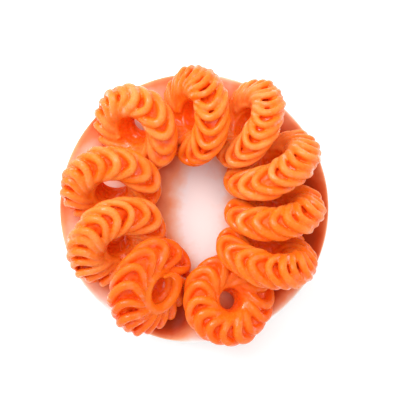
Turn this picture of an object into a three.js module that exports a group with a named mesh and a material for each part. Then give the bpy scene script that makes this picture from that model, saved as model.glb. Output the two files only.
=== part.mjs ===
// A plate of jangiri: ten piped and syrup-soaked rings lean on each other in a circle, each over the
// next one clockwise, with a clear space left in the middle of a shallow white plate.
// Millimetres, +Z up. The origin is the middle of the plate's flat base.
import * as THREE from "three";

// The plate
const PLATE_RADIUS = 115;
const PLATE_HEIGHT = 18;
const BASE_RADIUS = 66;
const WELL_RADIUS = 78;
const WELL_FLOOR = 4;
const RIM_THICKNESS = 3.6;
const RIM_EDGE = PLATE_RADIUS - RIM_THICKNESS / 2; // where the rim starts to round over
const RIM_CURVE = 1.6; // how much of the rim's rise comes near its edge
const RIM_STEPS = 6;
const PLATE_SIDES = 56;

// A sweet of size 1, lying flat: a strand piped in loops round a ring
const SWEET_RADIUS = 43.5;
const LOOP_HALF_HEIGHT = 15;
const END_SQUEEZE = 0.22; // how much flatter the loops are at the inner end, where the neighbours press
const LOOP_SWEEP = 15; // how far a loop is carried round past its inner and outer sides
const LOOP_SAG = 0.6; // how far the part that is carried furthest moves outwards with the lean
const GROOVE_DEPTH = 3; // between one loop and the next
const ROWS_PER_LOOP = 3; // two rows along the strand's back and one in the groove
const POINTS_PER_ROW = 10;
const LOOP_UNEVENNESS = 0.035;
const RING_OVALNESS = 0.02;

const GAP = 0.5; // between the lowest loops and the plate

const SYRUP_ORANGE = { color: 0xf5883a, roughness: 0.35, metalness: 0 };
const GLAZE_WHITE = { color: 0xf6efe9, roughness: 0.2, metalness: 0 };

// Where each sweet sits, clockwise from the far left as seen from above.
// x, y: its middle. outward: the angle of its level axis, counterclockwise from +X.
// lean: how far its clockwise side is lifted. rise: how far its inner end is lifted.
// perch: how high it lies over its lowest place on the bare plate. hole: the radius of its hole.
const SWEETS = [
  { x: -49, y: 65.5, outward: 134, lean: 42.5, rise: -1, perch: 0, size: 0.95, hole: 12, loops: 18 },
  { x: -0.2, y: 76.5, outward: 94, lean: 58.5, rise: 1.5, perch: 0.4, size: 1.01, hole: 11.5, loops: 19 },
  { x: 43.7, y: 69.7, outward: 61, lean: 60, rise: -2, perch: 0, size: 0.95, hole: 11.5, loops: 19 },
  { x: 64, y: 35, outward: 24, lean: 65, rise: -6, perch: 0, size: 1.01, hole: 11.5, loops: 16 },
  { x: 67, y: -2, outward: 7.5, lean: 66, rise: 1, perch: 0.6, size: 0.99, hole: 10.5, loops: 15 },
  { x: 60, y: -38, outward: -12.5, lean: 65, rise: 1.5, perch: 0.8, size: 1.02, hole: 11.5, loops: 18 },
  { x: 29.2, y: -76.4, outward: -83, lean: 18.5, rise: -6.5, perch: 0.3, size: 0.95, hole: 9, loops: 16 },
  { x: -36.1, y: -65, outward: -98.5, lean: 51, rise: 18, perch: 2, size: 1.03, hole: 10, loops: 16 },
  { x: -63.7, y: -28.9, outward: 203.5, lean: 44, rise: -8.5, perch: 0, size: 1.05, hole: 10, loops: 17 },
  { x: -69.5, y: 17.2, outward: 182, lean: 45, rise: -1, perch: 0, size: 1.01, hole: 12.5, loops: 19 },
];

const TURN = 2 * Math.PI;
const radians = THREE.MathUtils.degToRad;

// Height of a dish surface: level out to where the rim starts, then curving up to the plate's edge.
function dishHeight(radius, start, floor, top) {
  const share = THREE.MathUtils.clamp((radius - start) / (RIM_EDGE - start), 0, 1);
  return floor + (top - floor) * share ** RIM_CURVE;
}

const plateTop = (radius) => dishHeight(radius, WELL_RADIUS, WELL_FLOOR, PLATE_HEIGHT);
const plateUnderside = (radius) => dishHeight(radius, BASE_RADIUS, 0, PLATE_HEIGHT - RIM_THICKNESS);

function plateGeometry() {
  const lip = RIM_THICKNESS / 2;
  const along = (start, step) => THREE.MathUtils.lerp(start, RIM_EDGE, step / RIM_STEPS);
  const profile = [new THREE.Vector2(0, 0)];
  for (let step = 0; step <= RIM_STEPS; step++) {
    const radius = along(BASE_RADIUS, step);
    profile.push(new THREE.Vector2(radius, plateUnderside(radius)));
  }
  for (const angle of [-45, 0, 45]) {
    const out = lip * Math.cos(radians(angle));
    const up = lip * Math.sin(radians(angle));
    profile.push(new THREE.Vector2(RIM_EDGE + out, PLATE_HEIGHT - lip + up));
  }
  for (let step = RIM_STEPS; step >= 0; step--) {
    const radius = along(WELL_RADIUS, step);
    profile.push(new THREE.Vector2(radius, plateTop(radius)));
  }
  profile.push(new THREE.Vector2(0, WELL_FLOOR));
  return new THREE.LatheGeometry(profile, PLATE_SIDES).rotateX(Math.PI / 2);
}

// An unevenness between -1 and 1 from loop to loop: two waves that stay out of step with the loops,
// shifted from sweet to sweet.
function uneven(loop, sweet) {
  return 0.6 * Math.sin(2.4 * loop + 1.7 * sweet) + 0.4 * Math.sin(5.1 * loop + 0.9 * sweet);
}

// The coil's closed surface. Its rows follow the strand, so a row that has gone once round its loop
// goes on as a row of the next loop.
function sweetGeometry(sweet, number) {
  const outerRadius = sweet.size * SWEET_RADIUS;
  const ringRadius = (outerRadius + sweet.hole) / 2;
  const loopHalfWidth = (outerRadius - sweet.hole) / 2;
  const apex = radians(90 - LOOP_SAG * sweet.lean);
  const rows = sweet.loops * ROWS_PER_LOOP;
  const points = [];
  for (let row = 0; row < rows; row++) {
    const inGroove = row % ROWS_PER_LOOP === ROWS_PER_LOOP - 1;
    const loop = Math.floor(row / ROWS_PER_LOOP);
    const swell = 1 + LOOP_UNEVENNESS * (uneven(loop, number) - 1);
    const depth = inGroove ? GROOVE_DEPTH : 0;
    for (let point = 0; point < POINTS_PER_ROW; point++) {
      const around = point / POINTS_PER_ROW;
      const across = Math.cos(TURN * around);
      const up = Math.sin(TURN * around);
      const carried = ((sweet.size * LOOP_SWEEP) / ringRadius) * Math.cos(TURN * around - apex);
      const angle = (TURN * (row / ROWS_PER_LOOP + around)) / sweet.loops - carried;
      const oval = 1 - RING_OVALNESS * (1 + Math.sin(2 * angle + number));
      const radius = ringRadius * oval + (swell * loopHalfWidth - depth) * across;
      const squeeze = 1 - END_SQUEEZE * Math.max(0, -Math.cos(angle)) ** 2;
      const height = (swell * sweet.size * LOOP_HALF_HEIGHT * squeeze - depth) * up;
      points.push(radius * Math.cos(angle), radius * Math.sin(angle), height);
    }
  }
  const at = (row, point) => {
    const next = Math.floor(point / POINTS_PER_ROW) * ROWS_PER_LOOP;
    return ((row + next) % rows) * POINTS_PER_ROW + (point % POINTS_PER_ROW);
  };
  const faces = [];
  for (let row = 0; row < rows; row++) {
    for (let point = 0; point < POINTS_PER_ROW; point++) {
      const [a, b] = [at(row, point), at(row + 1, point)];
      const [c, d] = [at(row + 1, point + 1), at(row, point + 1)];
      faces.push(a, b, c, a, c, d);
    }
  }
  const geometry = new THREE.BufferGeometry();
  geometry.setAttribute("position", new THREE.Float32BufferAttribute(points, 3));
  geometry.setIndex(faces);
  geometry.computeVertexNormals();
  return geometry;
}

// Turns a sweet, then sets it down on the plate, or as far above the plate as it is perched.
function settle(mesh, sweet) {
  mesh.rotation.set(-radians(sweet.lean), radians(sweet.rise), radians(sweet.outward), "ZYX");
  mesh.position.set(sweet.x, sweet.y, 0);
  mesh.updateMatrixWorld(true);
  const corner = new THREE.Vector3();
  const places = mesh.geometry.getAttribute("position");
  let clearance = Infinity;
  for (let i = 0; i < places.count; i++) {
    corner.fromBufferAttribute(places, i).applyMatrix4(mesh.matrixWorld);
    clearance = Math.min(clearance, corner.z - plateTop(Math.hypot(corner.x, corner.y)));
  }
  mesh.position.z = GAP + sweet.perch - clearance;
}

const plateOfJangiri = new THREE.Group();

const plate = new THREE.Mesh(plateGeometry(), new THREE.MeshStandardMaterial(GLAZE_WHITE));
plate.name = "plate";
plateOfJangiri.add(plate);

SWEETS.forEach((sweet, index) => {
  const number = index + 1;
  const syrup = new THREE.MeshStandardMaterial(SYRUP_ORANGE);
  const mesh = new THREE.Mesh(sweetGeometry(sweet, number), syrup);
  mesh.name = `jangiri_${String(number).padStart(2, "0")}`;
  settle(mesh, sweet);
  plateOfJangiri.add(mesh);
});

export default plateOfJangiri;
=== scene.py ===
"""A plate of jangiri: ten piped, syrup-soaked rings lean on each other round a shallow white plate.

Metres, +Z up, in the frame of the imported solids. The camera looks straight down on the plate.
"""

import math

import bpy
import numpy as np
from mathutils import Euler, Matrix, Vector
from mathutils.bvhtree import BVHTree
from mathutils.kdtree import KDTree


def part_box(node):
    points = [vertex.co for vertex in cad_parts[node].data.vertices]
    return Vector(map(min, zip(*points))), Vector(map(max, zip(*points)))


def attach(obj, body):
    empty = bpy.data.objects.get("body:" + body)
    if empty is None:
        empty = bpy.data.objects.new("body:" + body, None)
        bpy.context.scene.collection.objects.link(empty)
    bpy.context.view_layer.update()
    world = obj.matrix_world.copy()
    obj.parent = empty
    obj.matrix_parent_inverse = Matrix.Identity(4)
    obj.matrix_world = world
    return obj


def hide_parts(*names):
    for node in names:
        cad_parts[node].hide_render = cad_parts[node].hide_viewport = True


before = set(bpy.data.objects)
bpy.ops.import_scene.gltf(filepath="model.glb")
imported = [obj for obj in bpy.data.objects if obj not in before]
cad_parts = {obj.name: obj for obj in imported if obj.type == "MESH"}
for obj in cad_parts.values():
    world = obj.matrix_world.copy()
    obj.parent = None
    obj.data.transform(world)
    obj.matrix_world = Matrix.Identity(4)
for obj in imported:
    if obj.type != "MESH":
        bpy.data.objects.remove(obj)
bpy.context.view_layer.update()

MM = 0.001
TURN = 2 * math.pi

# A sweet of size 1, lying flat: a strand piped in loops round a ring
SWEET_RADIUS = 43.5 * MM
LOOP_HALF_HEIGHT = 15 * MM
END_SQUEEZE = 0.22  # how much flatter the loops are at the inner end, where the neighbours press
LOOP_SWEEP = 15 * MM  # how far a loop is carried round past its inner and outer sides
LOOP_SAG = 0.6  # how far the part that is carried furthest moves outwards with the lean
RING_OVALNESS = 0.02
STEPS_PER_LOOP = 30
LOOP_FOOT = 0.25  # how far before its outer side a loop starts, in loops
LOOP_START = -1 / 12  # where round the ring the first loop starts, in loops
LOOP_OVERLAP = 0.1  # how far the last loop runs on over the first, in loops
OUTER_CROWDING = 0.28  # how much closer the loops of an upright sweet lie at its outer end
WALL_STEEPNESS = 2.6  # 2 would give the hole's wall the round form of the outer side
WALL_FLARE = 3 * MM  # how much wider the hole gets above

# The strand's under turns, half a loop from the others, that floor the hollows between them
UNDER_INSET = 8 * MM
UNDER_HEIGHT_SHARE = 0.4
UNDER_START = LOOP_START + 0.5
UNDER_STRAY = 3  # they stray as the loops of the sweet that many places on would

# The circles that are piped first, one on the other: they wall the hole and carry the loops
CIRCLE_STRAND_RADIUS = 3.4 * MM
CIRCLE_TURNS = 4.2
CIRCLE_FOOT = -13 * MM
CIRCLE_TOP = 6 * MM
CIRCLE_STEPS = 160
CIRCLE_UNEVENNESS = 0.05
CIRCLE_WAVES = 1.3  # how often a circle widens and narrows in a turn
CIRCLE_TIP = 0.08  # the share of the strand's length over which its tip grows to full thickness
CIRCLE_TIP_THICKNESS = 0.3

# The same circles on the sweet that lies with its base up: the first one shows, wide round the hole
BASE_UP = "jangiri_08"
SHOWN_CIRCLE_RADIUS = 15.5 * MM
SHOWN_CIRCLE_STRAND_RADIUS = 4.4 * MM
SHOWN_CIRCLE_TOP = 16.5 * MM
SHOWN_CIRCLE_START = 0.55
SHOWN_CIRCLE_TURNS = 2.6

# The mass of strands inside the loops: two rings, to either side of the middle of the loops
CORE_SPREAD = 0.24
CORE_RADIUS = 5.2 * MM
CORE_STEPS = 90

# How far the strand strays, as shares of a loop's size, spacing and sweep and of its own thickness
LOOP_UNEVENNESS = 0.09
SPACING_UNEVENNESS = 0.05
SWEEP_UNEVENNESS = 0.06
STRAND_UNEVENNESS = 0.13
LOOP_HOLDBACK = 0.6  # how far the loops' sizes are held back, so that few stand out
SPACING_PACE = 0.7  # the spacing's waves are this much slower
# It strays in two waves that stay out of step with the loops
STRAY_WAVES = [
    dict(share=0.6, per_loop=2.4, per_sweet=1.7),
    dict(share=0.4, per_loop=5.1, per_sweet=0.9),
]
# How many loops and sweets further on in the waves each kind is taken, so that no two go alike
SPACING_SHIFT = (11, 9)
SWEEP_SHIFT = (37, 5)
STRAND_SHIFT = (5, 3)

FUSING = 0.83 * MM  # strands closer than about this have run together in the fryer
SOFTENING_STEPS = 3
SOFTENING_SHARE = 0.5

# Painted shade: how much less of the ridges' colour the wall of the hole has, and how much darker a
# sweet that gets less light is painted
HOLE_PAINTED_SHADE = 0.45
SWEET_PAINTED_SHADE = 0.25
# Where that wall starts and how wide the change is, in half widths of a loop, and how high it goes,
# in half heights
HOLE_WALL_START = 0.3
HOLE_WALL_WIDTH = 0.6
HOLE_WALL_TOP = 0.7

# How each sweet lies, in degrees, as its solid does: the angle of its level axis from +X, how far its
# clockwise side is lifted and how far its inner end is lifted.
# hole: the radius of its hole, in millimetres. taper: how much narrower the hole gets below.
# slant: how much more so at the outer end, and less at the inner end. strand: the strand's radius.
# The last value: how much darker the sweet is painted than the palest ones, painted shade for the sweets
# that get less light.
SWEETS = [
    dict(node="jangiri_01", outward=134, lean=42.5, rise=-1, size=0.95,
         hole=12, taper=8, slant=0, strand=4.1, loops=15, painted_shade=0.05),
    dict(node="jangiri_02", outward=94, lean=58.5, rise=1.5, size=1.01,
         hole=11.5, taper=3, slant=0, strand=3.2, loops=20, painted_shade=0.4),
    dict(node="jangiri_03", outward=61, lean=60, rise=-2, size=0.95,
         hole=11.5, taper=3, slant=0, strand=3.1, loops=20, painted_shade=0),
    dict(node="jangiri_04", outward=24, lean=65, rise=-6, size=1.01,
         hole=11.5, taper=3, slant=0, strand=3.5, loops=17, painted_shade=0),
    dict(node="jangiri_05", outward=7.5, lean=66, rise=1, size=0.99,
         hole=10.5, taper=3, slant=0, strand=3.8, loops=16, painted_shade=0.3),
    dict(node="jangiri_06", outward=-12.5, lean=65, rise=1.5, size=1.02,
         hole=11.5, taper=3, slant=0, strand=3.6, loops=18, painted_shade=0.5),
    dict(node="jangiri_07", outward=-83, lean=18.5, rise=-6.5, size=0.95,
         hole=9, taper=2, slant=0, strand=4.1, loops=14, painted_shade=0.8),
    dict(node="jangiri_08", outward=-98.5, lean=51, rise=18, size=1.03,
         hole=10, taper=3, slant=0, strand=3.9, loops=15, painted_shade=1),
    dict(node="jangiri_09", outward=203.5, lean=44, rise=-8.5, size=1.05,
         hole=10, taper=3, slant=0, strand=3.6, loops=17, painted_shade=0),
    dict(node="jangiri_10", outward=182, lean=45, rise=-1, size=1.01,
         hole=12.5, taper=1.5, slant=5.5, strand=3.9, loops=16, painted_shade=0.15),
]

# The plate
PLATE_RADIUS = 115 * MM
PLATE_HEIGHT = 18 * MM
BASE_RADIUS = 66 * MM
WELL_RADIUS = 78 * MM
WELL_FLOOR = 4 * MM
RIM_THICKNESS = 3.6 * MM
RIM_EDGE = PLATE_RADIUS - RIM_THICKNESS / 2
RIM_CURVE = 1.6
RIM_STEPS = 14
LIP_STEPS = 6
WELL_STEPS = 16
PLATE_SIDES = 144
PLATE_CREASE = math.radians(50)

# The syrup that has run off the sweets onto the plate, in one value with painted shade: the sweets'
# painted orange glow close to them, painted shadow where they shelter the plate from the window and a
# painted reflection of them on the far lip. 0 where there is none, 1 where it is thick and darkest
SYRUP_REACH = 19 * MM
SYRUP_AND_GLOW_AT_SWEETS = 0.38
# Painted shadow where the sweets shelter the plate from the window, deeper where they close it in
PAINTED_SHADOW_SHELTERED = 0.6
PAINTED_SHADOW_ENCLOSED = 1.5
SYRUP_LIMIT = 0.82
# More painted shadow on the side away from the window
PAINTED_SHADOW_AT_RIGHT = 0.8  # past that limit, on the side away from the window
# A painted reflection of the sweets on the far lip
PAINTED_REFLECTION_ON_LIP = 0.6
SYRUP_SPREADING = 12
SWEET_POINT_STEP = 25  # one in so many points of a sweet is looked at
# Shelter: the share of the ways up towards the window that the sweets block
SHELTERED_FROM = 0.25
ENCLOSED_FROM = 0.75
SHELTER_RAYS = 12
SHELTER_LENGTH = 0.3
SHELTER_RAY_START = 1 * MM
SHELTER_RAY_TURN = 0.618  # from each way to the next, in turns
SHELTER_SPREAD = 0.9
# The lip: how far in the painted reflection of the sweets reaches on the far left, and how far in it is
# clean on the near side
LIP_REACH = 9 * MM
NEAR_LIP_REACH = 15 * MM
# Places with less syrup and painted shade, in millimetres: the middle of the plate and under the holes
# of
# three sweets. share: how much of it is there
BARE_PLACES = [
    dict(x=8, y=2, half_width=22, half_depth=48, share=0.05),
    dict(x=-67, y=17, half_width=8, half_depth=8, share=0.05),
    dict(x=-50, y=71, half_width=7, half_depth=7, share=0.05),
    dict(x=29, y=-76, half_width=9, half_depth=9, share=0.7),
]
BARE_EDGE = 0.8  # where such a place's edge starts and how wide it is, in shares of its size
# Where more syrup has run down, between the two sweets at the near side, deepened with painted shade
SYRUP_AND_SHADE_STREAK = dict(x=-23, y=-100, half_width=16, half_depth=14)
STREAK_DEPTH = 0.8
STREAK_END = 1.4

# The window's light comes from the far left
WINDOW_PLACE = Vector((-0.5, 0.5, 0.75))
CEILING_PLACE = (-0.1, 0.6, 1.15)
ROOM_BRIGHTNESS = 0.88
FLOOR_SIZE = 6

# The photograph's framing, in pixels of a square frame
FRAME_PX = 400
PLATE_MIDDLE_PX = (194.2, 208.1)
PLATE_RADIUS_PX = 134.5
CAMERA_HEIGHT = 0.8
SENSOR_WIDTH = 36


def deselect_all():
    bpy.ops.object.select_all(action="DESELECT")


def linear(red, green, blue):
    """A colour given in 0 to 255 screen values, as a shader takes it."""
    def decode(value):
        share = value / 255
        return share / 12.92 if share <= 0.04045 else ((share + 0.055) / 1.055) ** 2.4
    return decode(red), decode(green), decode(blue), 1


def points_of(piece, value="co"):
    """The places of a piece's points, or another of their values, one row each."""
    rows = np.empty(len(piece.data.vertices) * 3, np.float32)
    piece.data.vertices.foreach_get(value, rows)
    return rows.reshape(-1, 3)


def store(piece, name, values):
    """Keeps a value for each point of a piece, for its finish to read."""
    stored = piece.data.attributes.new(name, "FLOAT", "POINT")
    stored.data.foreach_set("value", values.astype(np.float32))


# The strands of a sweet


def uneven(loop, sweet, shift=(0, 0)):
    """An unevenness between -1 and 1 along the strand."""
    loop, sweet = loop + shift[0], sweet + shift[1]
    return sum(wave["share"] * np.sin(wave["per_loop"] * loop + wave["per_sweet"] * sweet)
               for wave in STRAY_WAVES)


def ring_size(sweet):
    """The radius of a sweet's ring at the middle of its loops, and half the width of a loop."""
    outer = sweet["size"] * SWEET_RADIUS
    hole = sweet["hole"] * MM
    return (outer + hole) / 2, (outer - hole) / 2


def loop_half_height(sweet, angle):
    """Half the height of the loops at an angle round the ring: less at the inner end."""
    return sweet["size"] * LOOP_HALF_HEIGHT * (1 - END_SQUEEZE * np.maximum(0, -np.cos(angle)) ** 2)


def round_ring(radius, angle, height):
    """Points at the given radii, angles and heights round the axis of the hole."""
    return np.stack([radius * np.cos(angle), radius * np.sin(angle), height], axis=1)


def wall_shift(sweet, angle, up):
    """How far the hole's wall stands further out at a share of the half height: less than 0 below."""
    taper = (sweet["taper"] + sweet["slant"] * np.cos(angle)) * MM
    return sweet["size"] * np.where(up > 0, WALL_FLARE, taper) * up


def loops_path(sweet, number, inset, height_share, start):
    """Points and radii of a strand that goes once round the ring in loops."""
    size = sweet["size"]
    strand = sweet["strand"] * MM
    ring_radius, loop_half_width = ring_size(sweet)
    piped = np.arange((sweet["loops"] + LOOP_OVERLAP) * STEPS_PER_LOOP) / STEPS_PER_LOOP
    loop = piped + start
    turn = TURN * (piped - LOOP_FOOT)
    up = np.sin(turn)
    wall = (1 - np.abs(up) ** WALL_STEEPNESS) ** (1 / WALL_STEEPNESS)
    across = np.where(np.cos(turn) < 0, -wall, np.cos(turn))
    pitch = TURN / sweet["loops"]
    swell = 1 + LOOP_UNEVENNESS * (uneven(loop, number) - LOOP_HOLDBACK)
    sweep = size * LOOP_SWEEP / ring_radius * (1 + SWEEP_UNEVENNESS * uneven(loop, number, SWEEP_SHIFT))
    stray = SPACING_UNEVENNESS * pitch * uneven(SPACING_PACE * loop, number, SPACING_SHIFT)
    apex = math.radians(90 - LOOP_SAG * sweet["lean"])
    crowding = OUTER_CROWDING * math.sin(math.radians(sweet["lean"]))
    crowded = pitch * loop - crowding * np.sin(pitch * loop)
    angle = crowded - sweep * np.cos(turn - apex) + stray
    oval = 1 - RING_OVALNESS * (1 + np.sin(2 * angle + number))
    half_width = loop_half_width - strand - size * inset
    half_height = (loop_half_height(sweet, angle) - strand) * height_share
    shift = wall_shift(sweet, angle, up) * np.maximum(-across, 0)
    radius = ring_radius * oval + half_width * swell * across + shift
    thickness = strand * (1 + STRAND_UNEVENNESS * uneven(loop, number, STRAND_SHIFT))
    return round_ring(radius, angle, half_height * swell * up), thickness


def circles_path(sweet, number):
    """Points and radii of the circles round the hole that the loops are piped on."""
    size = sweet["size"]
    base_up = sweet["node"] == BASE_UP
    strand_radius = SHOWN_CIRCLE_STRAND_RADIUS if base_up else CIRCLE_STRAND_RADIUS
    hole = sweet["hole"] * MM + size * strand_radius
    share = np.linspace(0, 1, CIRCLE_STEPS)
    if base_up:
        angle = TURN * (SHOWN_CIRCLE_START - SHOWN_CIRCLE_TURNS * share)
        radius = size * SHOWN_CIRCLE_RADIUS * (1 - share) + hole * share
        height = SHOWN_CIRCLE_TOP * (1 - share) - CIRCLE_TOP * share
    else:
        angle = TURN * CIRCLE_TURNS * share
        height = CIRCLE_FOOT * (1 - share) + CIRCLE_TOP * share
        shift = wall_shift(sweet, angle, height / LOOP_HALF_HEIGHT)
        radius = hole * (1 + CIRCLE_UNEVENNESS * np.sin(CIRCLE_WAVES * angle + number)) + shift
    thickness = size * strand_radius * np.clip(share / CIRCLE_TIP, CIRCLE_TIP_THICKNESS, 1)
    return round_ring(radius, angle, size * height), thickness


def core_path(sweet, side):
    """Points and radii of one of the two rings of the core."""
    ring_radius, loop_half_width = ring_size(sweet)
    angle = np.linspace(0, TURN, CORE_STEPS)
    radius = ring_radius + side * CORE_SPREAD * loop_half_width
    thickness = CORE_RADIUS / LOOP_HALF_HEIGHT * loop_half_height(sweet, angle)
    return round_ring(radius, angle, 0 * angle), thickness


def pipe(points, radii):
    """A round strand of changing thickness along the points, as a curve object."""
    curve = bpy.data.curves.new("strand", "CURVE")
    curve.dimensions = "3D"
    curve.bevel_depth = 1
    curve.bevel_resolution = 3
    curve.use_fill_caps = True
    line = curve.splines.new("POLY")
    line.points.add(len(points) - 1)
    line.points.foreach_set("co", np.c_[points, np.ones(len(points))].ravel())
    line.points.foreach_set("radius", radii)
    strand = bpy.data.objects.new("strand", curve)
    bpy.context.scene.collection.objects.link(strand)
    return strand


def fry(strands, name):
    """Joins a sweet's strands into one skin, run together where they touch and slightly softened."""
    deselect_all()
    for strand in strands:
        strand.select_set(True)
    bpy.context.view_layer.objects.active = strands[0]
    bpy.ops.object.convert(target="MESH")
    bpy.ops.object.join()
    piece = bpy.context.object
    piece.name = name
    fuse = piece.modifiers.new("fuse", "REMESH")
    fuse.mode = "VOXEL"
    fuse.voxel_size = FUSING
    bpy.ops.object.modifier_apply(modifier="fuse")
    soften = piece.modifiers.new("soften", "SMOOTH")
    soften.factor = SOFTENING_SHARE
    soften.iterations = SOFTENING_STEPS
    bpy.ops.object.modifier_apply(modifier="soften")
    bpy.ops.object.shade_smooth()
    return piece


def mark_ridge_sheen_and_shade(piece, sweet):
    """Stores how near each point is to the coil's outer form, less the painted shade: 1 on the ridges,
    which the finish paints with a pale sheen, less in the hollows and down the wall of the hole, which
    it paints in shade, and less on the sweets painted darker."""
    places = points_of(piece)
    ring_radius, loop_half_width = ring_size(sweet)
    from_ring = (np.hypot(places[:, 0], places[:, 1]) - ring_radius) / loop_half_width
    up = places[:, 2] / loop_half_height(sweet, np.arctan2(places[:, 1], places[:, 0]))
    at_the_wall = np.clip((-from_ring - HOLE_WALL_START) / HOLE_WALL_WIDTH, 0, 1)
    down_the_hole = at_the_wall * np.clip(1 - up / HOLE_WALL_TOP, 0, 1)
    # Painted shade down the wall of the hole and on the sweets that get less light
    shade = HOLE_PAINTED_SHADE * down_the_hole + SWEET_PAINTED_SHADE * sweet["painted_shade"]
    store(piece, "ridge_sheen_and_shade", np.minimum(np.hypot(from_ring, up), 1) - shade)


def lay(piece, sweet):
    """Turns a sweet as its solid is turned and sets it in the solid's place."""
    turns = [math.radians(angle) for angle in (-sweet["lean"], sweet["rise"], sweet["outward"])]
    piece.data.transform(Euler(turns).to_matrix().to_4x4())
    places = points_of(piece)
    middle = Vector((places.min(0) + places.max(0)) / 2)
    low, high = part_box(sweet["node"])
    shift = (low + high) / 2 - middle
    piece.data.transform(Matrix.Translation(shift))


def make_sweet(sweet, number, finish):
    """A sweet of its strands, in the place of its solid."""
    paths = [
        loops_path(sweet, number, 0, 1, LOOP_START),
        loops_path(sweet, number + UNDER_STRAY, UNDER_INSET, UNDER_HEIGHT_SHARE, UNDER_START),
        circles_path(sweet, number),
        core_path(sweet, -1),
        core_path(sweet, 1),
    ]
    piece = fry([pipe(*path) for path in paths], sweet["node"] + "_strands")
    mark_ridge_sheen_and_shade(piece, sweet)
    lay(piece, sweet)
    piece.data.materials.append(finish)
    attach(piece, "root")
    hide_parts(sweet["node"])
    return piece


# The plate


def dish_height(radius, start, floor, top):
    """Height of a dish surface: level to where the rim starts, then curving up to the plate's edge."""
    share = min(max((radius - start) / (RIM_EDGE - start), 0), 1)
    return floor + (top - floor) * share ** RIM_CURVE


def plate_rings():
    """Radius and height of each ring of the plate, from the foot out under the rim, over and back in."""
    rings = []
    for step in range(1, RIM_STEPS + 1):
        radius = BASE_RADIUS + (RIM_EDGE - BASE_RADIUS) * step / RIM_STEPS
        rings.append((radius, dish_height(radius, BASE_RADIUS, 0, PLATE_HEIGHT - RIM_THICKNESS)))
    lip = RIM_THICKNESS / 2
    for step in range(1, LIP_STEPS):
        angle = math.pi * (step / LIP_STEPS - 0.5)
        rings.append((RIM_EDGE + lip * math.cos(angle), PLATE_HEIGHT - lip + lip * math.sin(angle)))
    for step in range(RIM_STEPS, -1, -1):
        radius = WELL_RADIUS + (RIM_EDGE - WELL_RADIUS) * step / RIM_STEPS
        rings.append((radius, dish_height(radius, WELL_RADIUS, WELL_FLOOR, PLATE_HEIGHT)))
    for step in range(1, WELL_STEPS):
        rings.append((WELL_RADIUS * (1 - step / WELL_STEPS), WELL_FLOOR))
    return rings


def nearness(places, sweets):
    """How close points lie to the sweets: 0 out of the syrup's reach, 1 where they touch one."""
    corners = np.concatenate([points_of(piece)[::SWEET_POINT_STEP] for piece in sweets])
    tree = KDTree(len(corners))
    for index, corner in enumerate(corners):
        tree.insert(corner, index)
    tree.balance()
    distances = np.array([tree.find(place)[2] for place in places])
    return np.clip(1 - distances / SYRUP_REACH, 0, 1)


def shelter_at(place, shelters):
    """The share of the ways up from a place towards the window that the sweets block."""
    above = place + Vector((0, 0, SHELTER_RAY_START))
    blocked = 0
    for step in range(SHELTER_RAYS):
        turn = TURN * step * SHELTER_RAY_TURN
        spread = SHELTER_SPREAD * math.sqrt((step + 0.5) / SHELTER_RAYS)
        way = WINDOW_PLACE + Vector((spread * math.cos(turn), spread * math.sin(turn), 0))
        way.normalize()
        blocked += any(shelter.ray_cast(above, way, SHELTER_LENGTH)[0] for shelter in shelters)
    return blocked / SHELTER_RAYS


def shelter_of(places, sweets):
    """The same share for each of the points."""
    finished = bpy.context.evaluated_depsgraph_get()
    shelters = [BVHTree.FromObject(piece, finished) for piece in sweets]
    return np.array([shelter_at(Vector(place), shelters) for place in places])


def side_share(places, across, deep, start):
    """How far out points lie on one side of the plate, from 0 to 1."""
    return np.clip(start + (across * places[:, 0] + deep * places[:, 1]) / PLATE_RADIUS, 0, 1)


def apart(places, spot):
    """How far points lie from the middle of a spot, in shares of its size."""
    across = (places[:, 0] / MM - spot["x"]) / spot["half_width"]
    deep = (places[:, 1] / MM - spot["y"]) / spot["half_depth"]
    return np.hypot(across, deep)


def spread_out(values, piece):
    """Evens out the values of neighbouring points, as a liquid spreads."""
    ends = np.empty(len(piece.data.edges) * 2, np.int32)
    piece.data.edges.foreach_get("vertices", ends)
    one, other = ends[::2], ends[1::2]
    count = len(values)
    neighbours = np.bincount(ends, minlength=count)
    for _ in range(SYRUP_SPREADING):
        around = np.bincount(one, values[other], count) + np.bincount(other, values[one], count)
        values = (values + around / neighbours) / 2
    return values


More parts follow.
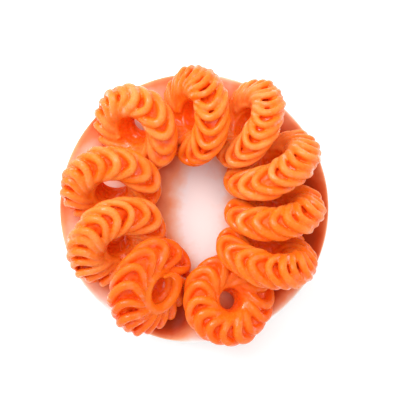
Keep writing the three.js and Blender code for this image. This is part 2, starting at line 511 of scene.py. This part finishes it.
def mark_syrup_and_painted_shade(plate, sweets):
    """Stores how much syrup each point of the plate has, with painted shade in the same value: most
    close to the sweets, with their painted orange glow, where they shelter the plate from the window as
    painted shadow, more so on the right, and down the streak; a painted reflection of the sweets on the
    far lip; little on the near lip and in the bare places, and none underneath."""
    places = points_of(plate)
    share = shelter_of(places, sweets)
    sheltered = np.clip(share - SHELTERED_FROM, 0, 1)
    enclosed = np.clip(share - ENCLOSED_FROM, 0, 1)
    near = nearness(places, sweets)
    # Syrup and painted orange glow close to the sweets, painted shadow where they shelter the plate
    syrup = SYRUP_AND_GLOW_AT_SWEETS * near + PAINTED_SHADOW_SHELTERED * sheltered + PAINTED_SHADOW_ENCLOSED * enclosed
    right = side_share(places, across=1, deep=-0.2, start=0)
    # Painted shadow deepened on the right
    syrup = np.minimum(syrup, SYRUP_LIMIT) + PAINTED_SHADOW_AT_RIGHT * right ** 3 * sheltered

    from_edge = PLATE_RADIUS - np.hypot(places[:, 0], places[:, 1])
    on_lip = np.clip(1 - from_edge / LIP_REACH, 0, 1)
    on_near_lip = np.clip(1 - from_edge / NEAR_LIP_REACH, 0, 1)
    far_left = side_share(places, across=-1, deep=0.6, start=0.1)
    near_side = side_share(places, across=0, deep=-1.6, start=-0.2)
    # Painted reflection of the sweets on the far lip
    painted_reflection = PAINTED_REFLECTION_ON_LIP * far_left * (1 - near_side) * on_lip
    syrup = syrup * (1 - near_side * on_near_lip) + painted_reflection

    # Syrup and painted shade down the streak
    syrup = syrup + STREAK_DEPTH * np.clip(STREAK_END - apart(places, SYRUP_AND_SHADE_STREAK), 0, 1)
    for bare in BARE_PLACES:
        syrup = syrup * np.clip((apart(places, bare) - BARE_EDGE) / BARE_EDGE, bare["share"], 1)
    facing_up = np.clip(2 * points_of(plate, "normal")[:, 2], 0, 1)
    store(plate, "syrup", spread_out(syrup * facing_up, plate))


def make_plate(finish, sweets):
    """The plate, drawn out ring by ring from its foot, with the syrup of the sweets and painted shade on
    it.
    """
    deselect_all()
    bpy.ops.mesh.primitive_circle_add(vertices=PLATE_SIDES, radius=BASE_RADIUS, fill_type="NGON")
    plate = bpy.context.object
    plate.name = "glazed_plate"
    bpy.ops.object.mode_set(mode="EDIT")
    bpy.ops.mesh.select_all(action="SELECT")
    radius, height = BASE_RADIUS, 0
    for next_radius, next_height in plate_rings():
        bpy.ops.mesh.extrude_region()
        grow = next_radius / radius
        bpy.ops.transform.resize(value=(grow, grow, 1), center_override=(0, 0, height))
        bpy.ops.transform.translate(value=(0, 0, next_height - height))
        radius, height = next_radius, next_height
    bpy.ops.mesh.select_all(action="SELECT")
    bpy.ops.mesh.normals_make_consistent(inside=False)
    bpy.ops.object.mode_set(mode="OBJECT")
    bpy.ops.object.shade_smooth_by_angle(angle=PLATE_CREASE)
    mark_syrup_and_painted_shade(plate, sweets)
    plate.data.materials.append(finish)
    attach(plate, "root")
    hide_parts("plate")


# Finishes


def grain_group():
    """Uneven spots on Object coordinates, spread over a range of values."""
    group = bpy.data.node_groups.new("grain", "ShaderNodeTree")
    for name in ("Spots per metre", "Detail", "Low", "High"):
        group.interface.new_socket(name, in_out="INPUT", socket_type="NodeSocketFloat")
    group.interface.new_socket("Value", in_out="OUTPUT", socket_type="NodeSocketFloat")
    given = group.nodes.new("NodeGroupInput")
    result = group.nodes.new("NodeGroupOutput")
    place = group.nodes.new("ShaderNodeTexCoord")
    noise = group.nodes.new("ShaderNodeTexNoise")
    spread = group.nodes.new("ShaderNodeMapRange")
    spread.inputs["From Min"].default_value = 0.3
    spread.inputs["From Max"].default_value = 0.7
    group.links.new(place.outputs["Object"], noise.inputs["Vector"])
    group.links.new(given.outputs["Spots per metre"], noise.inputs["Scale"])
    group.links.new(given.outputs["Detail"], noise.inputs["Detail"])
    group.links.new(noise.outputs["Fac"], spread.inputs["Value"])
    group.links.new(given.outputs["Low"], spread.inputs["To Min"])
    group.links.new(given.outputs["High"], spread.inputs["To Max"])
    group.links.new(spread.outputs["Result"], result.inputs["Value"])
    return group


GRAIN = grain_group()


def grain(tree, across, detail, low, high):
    """Grain in a material, with spots about as far across as given."""
    spots = tree.nodes.new("ShaderNodeGroup")
    spots.node_tree = GRAIN
    spots.inputs["Spots per metre"].default_value = 1 / across
    spots.inputs["Detail"].default_value = detail
    spots.inputs["Low"].default_value = low
    spots.inputs["High"].default_value = high
    return spots.outputs["Value"]


def new_finish(name):
    """A new material with its nodes and main shader."""
    finish = bpy.data.materials.new(name)
    finish.use_nodes = True
    tree = finish.node_tree
    return finish, tree, tree.nodes["Principled BSDF"]


def stored_value(tree, name):
    """The value kept for each point under a name."""
    value = tree.nodes.new("ShaderNodeAttribute")
    value.attribute_name = name
    return value.outputs["Fac"]


def together(tree, one, other):
    """The sum of two values."""
    both = tree.nodes.new("ShaderNodeMath")
    both.operation = "ADD"
    tree.links.new(one, both.inputs[0])
    tree.links.new(other, both.inputs[1])
    return both.outputs["Value"]


def colour_steps(tree, value, steps):
    """A value's colour, on a ramp through the given positions and screen colours."""
    ramp = tree.nodes.new("ShaderNodeValToRGB")
    stops = ramp.color_ramp.elements
    while len(stops) < len(steps):
        stops.new(0.5)
    for stop, (position, colour) in zip(stops, steps):
        stop.position = position
        stop.color = linear(*colour)
    tree.links.new(value, ramp.inputs["Fac"])
    return ramp.outputs["Color"]


def relief(tree, height, depth):
    """Fine relief of the given depth."""
    bump = tree.nodes.new("ShaderNodeBump")
    bump.inputs["Distance"].default_value = depth
    tree.links.new(height, bump.inputs["Height"])
    return bump.outputs["Normal"]


def syrup_orange():
    """Fried batter soaked in orange syrup, with painted shade: red in the hollows and down the hole, and
    a painted yellow-orange sheen on the ridges.
    """
    finish, tree, shader = new_finish("syrup_orange")
    patches = grain(tree, across=12 * MM, detail=2, low=-0.08, high=0.08)
    # Painted shade: deep red in the hollows and down the hole; painted sheen: the paler last stop, on
    # the ridges
    colour = colour_steps(tree, together(tree, stored_value(tree, "ridge_sheen_and_shade"), patches), [
        (0.2, (248, 94, 16)),
        (0.5, (247, 98, 16)),
        (0.8, (250, 119, 24)),
        (1.0, (247, 145, 70)),
    ])
    gloss = grain(tree, across=5 * MM, detail=1, low=0.2, high=0.42)
    pores = grain(tree, across=2 * MM, detail=2, low=0, high=1)
    wet_places = grain(tree, across=7 * MM, detail=1, low=-1.8, high=1.2)
    tree.links.new(colour, shader.inputs["Base Color"])
    tree.links.new(gloss, shader.inputs["Roughness"])
    tree.links.new(relief(tree, pores, depth=0.12 * MM), shader.inputs["Normal"])
    tree.links.new(wet_places, shader.inputs["Coat Weight"])
    shader.inputs["Coat Roughness"].default_value = 0.1
    shader.inputs["Specular IOR Level"].default_value = 0.2
    shader.inputs["Subsurface Weight"].default_value = 0.35
    shader.inputs["Subsurface Radius"].default_value = (1.0, 0.42, 0.1)
    shader.inputs["Subsurface Scale"].default_value = 4 * MM
    return finish


def white_glaze():
    """Glossy white glaze, tinted by the syrup that has run off the sweets and by painted shade, painted
    orange glow and a painted reflection of them.
    """
    finish, tree, shader = new_finish("white_glaze")
    streaks = grain(tree, across=9 * MM, detail=2, low=-0.04, high=0.04)
    # White where clean, through syrup tint and painted glow to the deep brown-red of painted shadow
    colour = colour_steps(tree, together(tree, stored_value(tree, "syrup"), streaks), [
        (0.05, (255, 250, 248)),
        (0.2, (254, 212, 188)),
        (0.38, (252, 164, 116)),
        (0.65, (224, 104, 56)),
        (0.82, (204, 74, 30)),
        (1.0, (178, 66, 30)),
    ])
    gloss = grain(tree, across=20 * MM, detail=1, low=0.14, high=0.26)
    tree.links.new(colour, shader.inputs["Base Color"])
    tree.links.new(gloss, shader.inputs["Roughness"])
    shader.inputs["Specular IOR Level"].default_value = 0.14
    return finish


# The studio


def make_floor():
    deselect_all()
    bpy.ops.mesh.primitive_plane_add(size=FLOOR_SIZE)
    floor = bpy.context.object
    floor.name = "floor"
    finish, _, shader = new_finish("pale_floor")
    shader.inputs["Base Color"].default_value = linear(250, 250, 250)
    shader.inputs["Roughness"].default_value = 0.9
    shader.inputs["Emission Color"].default_value = (1, 1, 1, 1)
    shader.inputs["Emission Strength"].default_value = 0.1
    floor.data.materials.append(finish)


def add_light(name, place, size, watts, colour):
    """A square light that faces the middle of the plate's base."""
    lamp = bpy.data.lights.new(name, "AREA")
    lamp.size = size
    lamp.energy = watts
    lamp.color = colour
    light = bpy.data.objects.new(name, lamp)
    light.location = place
    light.rotation_euler = (-Vector(place)).to_track_quat("-Z", "Y").to_euler()
    bpy.context.scene.collection.objects.link(light)


def light_studio():
    room = bpy.data.worlds.new("room")
    room.use_nodes = True
    walls = room.node_tree.nodes["Background"]
    walls.inputs["Color"].default_value = (1, 1, 1, 1)
    walls.inputs["Strength"].default_value = ROOM_BRIGHTNESS
    bpy.context.scene.world = room
    add_light("window", WINDOW_PLACE, size=0.6, watts=4.6, colour=(1, 0.98, 0.95))
    add_light("ceiling", CEILING_PLACE, size=1.2, watts=7.5, colour=(1, 1, 1))
    bpy.context.scene.view_settings.view_transform = "Standard"


def place_camera():
    camera = bpy.data.cameras.new("camera")
    focal_px = PLATE_RADIUS_PX * (CAMERA_HEIGHT - PLATE_HEIGHT) / PLATE_RADIUS
    camera.sensor_width = SENSOR_WIDTH
    camera.lens = focal_px * SENSOR_WIDTH / FRAME_PX
    camera.shift_x = 0.5 - PLATE_MIDDLE_PX[0] / FRAME_PX
    camera.shift_y = PLATE_MIDDLE_PX[1] / FRAME_PX - 0.5
    holder = bpy.data.objects.new("camera", camera)
    holder.location = (0, 0, CAMERA_HEIGHT)
    bpy.context.scene.collection.objects.link(holder)
    bpy.context.scene.camera = holder


place_camera()
light_studio()
make_floor()
syrup_soaked = syrup_orange()
sweets = [make_sweet(sweet, number, syrup_soaked) for number, sweet in enumerate(SWEETS, start=1)]
make_plate(white_glaze(), sweets)
